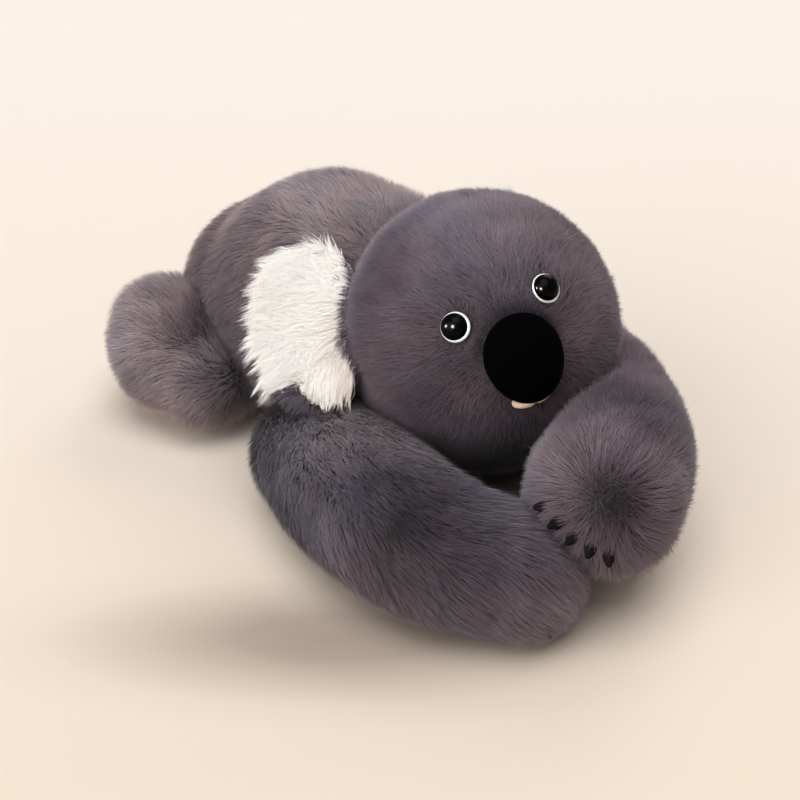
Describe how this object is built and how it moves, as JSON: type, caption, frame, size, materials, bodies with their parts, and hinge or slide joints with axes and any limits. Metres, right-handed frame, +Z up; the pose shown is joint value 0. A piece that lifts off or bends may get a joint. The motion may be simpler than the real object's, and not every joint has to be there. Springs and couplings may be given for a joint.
{
  "type": "plush koala",
  "caption": "Long-pile plush koala lying on its belly: turned head, crossed arms, folding ears, safety eyes, velvet nose and small claws, each limb on a soft sewn joint.",
  "frame": {"origin": "on the floor under the middle of the belly", "axes": "+Z up, the koala faces -Y, its own left side is at +X"},
  "size_m": [0.2677, 0.4195, 0.1813],
  "materials": {
    "slate_fur": "long-pile plush",
    "white_ear_fur": "long-pile plush",
    "filling": "loose fibre",
    "nose": "matt velvet",
    "chin": "felt",
    "eye": "polished",
    "eye_rim": "satin",
    "washer": "moulded",
    "claw": "felt"
  },
  "bodies": {
    "body": {"body_cover": "slate_fur", "body_filling": "filling"},
    "head": {"head_cover": "slate_fur", "head_filling": "filling", "nose_cover": "nose", "nose_filling": "filling", "chin_patch": "chin", "eye_right": "eye", "eye_left": "eye", "eye_rim_right": "eye_rim", "eye_rim_left": "eye_rim", "eye_washer_right": "washer", "eye_washer_left": "washer"},
    "ear_right": {"ear_front_right": "white_ear_fur", "ear_back_right": "slate_fur"},
    "ear_left": {"ear_front_left": "white_ear_fur", "ear_back_left": "slate_fur"},
    "arm_right": {"arm_right_cover": "slate_fur", "arm_right_filling": "filling", "claw_right_1": "claw", "claw_right_2": "claw", "claw_right_3": "claw", "claw_right_4": "claw", "claw_right_5": "claw"},
    "arm_left": {"arm_left_cover": "slate_fur", "arm_left_filling": "filling", "claw_left_1": "claw", "claw_left_2": "claw", "claw_left_3": "claw", "claw_left_4": "claw", "claw_left_5": "claw"},
    "leg_right": {"leg_right_cover": "slate_fur", "leg_right_filling": "filling"},
    "leg_left": {"leg_left_cover": "slate_fur", "leg_left_filling": "filling"}
  },
  "joints": [
    {"name": "neck_lift", "type": "hinge", "parent": "body", "child": "head", "pos_m": [0, -0.09404, 0.15298], "axis": [-1, 0, 0], "range_deg": [0, 10], "stiffness_Nm_per_rad": 4},
    {"name": "ear_fold_right", "type": "hinge", "parent": "head", "child": "ear_right", "pos_m": [-0.0639, -0.08441, 0.11387], "axis": [0.5451, 0.5571, 0.6265], "range_deg": [0, 30], "stiffness_Nm_per_rad": 0.3},
    {"name": "ear_fold_left", "type": "hinge", "parent": "head", "child": "ear_left", "pos_m": [0.06426, -0.12249, 0.13864], "axis": [0.3445, -0.8214, -0.4545], "range_deg": [0, 30], "stiffness_Nm_per_rad": 0.3},
    {"name": "shoulder_swing_right", "type": "hinge", "parent": "body", "child": "arm_right", "pos_m": [-0.08804, -0.06812, 0.046], "axis": [0, 0, -1], "range_deg": [0, 24], "stiffness_Nm_per_rad": 1},
    {"name": "shoulder_swing_left", "type": "hinge", "parent": "body", "child": "arm_left", "pos_m": [0.07526, -0.0655, 0.046], "axis": [0, 0, 1], "range_deg": [0, 24], "stiffness_Nm_per_rad": 1},
    {"name": "hip_swing_right", "type": "hinge", "parent": "body", "child": "leg_right", "pos_m": [-0.0568, 0.08384, 0.038], "axis": [0, 0, -1], "range_deg": [0, 20], "stiffness_Nm_per_rad": 1},
    {"name": "hip_swing_left", "type": "hinge", "parent": "body", "child": "leg_left", "pos_m": [0.0568, 0.08384, 0.038], "axis": [0, 0, 1], "range_deg": [0, 20], "stiffness_Nm_per_rad": 1}
  ]
}
